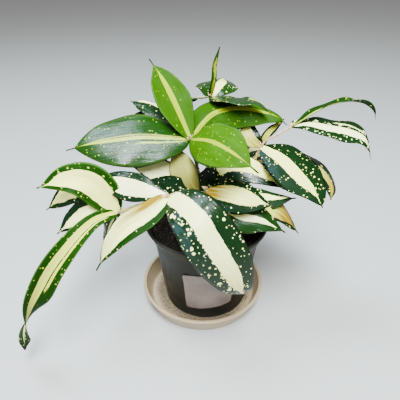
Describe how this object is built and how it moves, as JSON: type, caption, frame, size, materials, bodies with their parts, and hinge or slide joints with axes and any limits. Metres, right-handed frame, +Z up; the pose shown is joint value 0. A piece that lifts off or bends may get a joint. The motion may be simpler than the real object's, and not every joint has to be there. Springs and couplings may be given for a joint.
{
  "type": "gold dust dracaena in a nursery pot",
  "caption": "Potted gold dust dracaena: slender canes with whorls of pointed, cream-striped and speckled leaves in a flared plastic nursery pot on a round saucer.",
  "frame": {"origin": "centre of the saucer's flat underside", "axes": "+Z up, -Y towards the front, where the pot's label is, +X to the right seen from the front"},
  "size_m": [0.3265, 0.2379, 0.2682],
  "materials": {
    "saucer": "satin",
    "pot": "satin",
    "soil": "matte",
    "label": "matte",
    "young_leaf": "satin",
    "leaf": "satin",
    "cane": "satin"
  },
  "bodies": {
    "root": {"saucer": "saucer", "pot": "pot", "soil": "soil", "label": "label", "stem_centre": "young_leaf", "stem_spear": "leaf", "stem_back_left": "leaf", "stem_right": "leaf", "stem_front_left": "leaf", "stem_middle": "leaf", "stem_front_right": "leaf", "stem_back": "leaf", "stem_back_right": "leaf"}
  },
  "joints": []
}
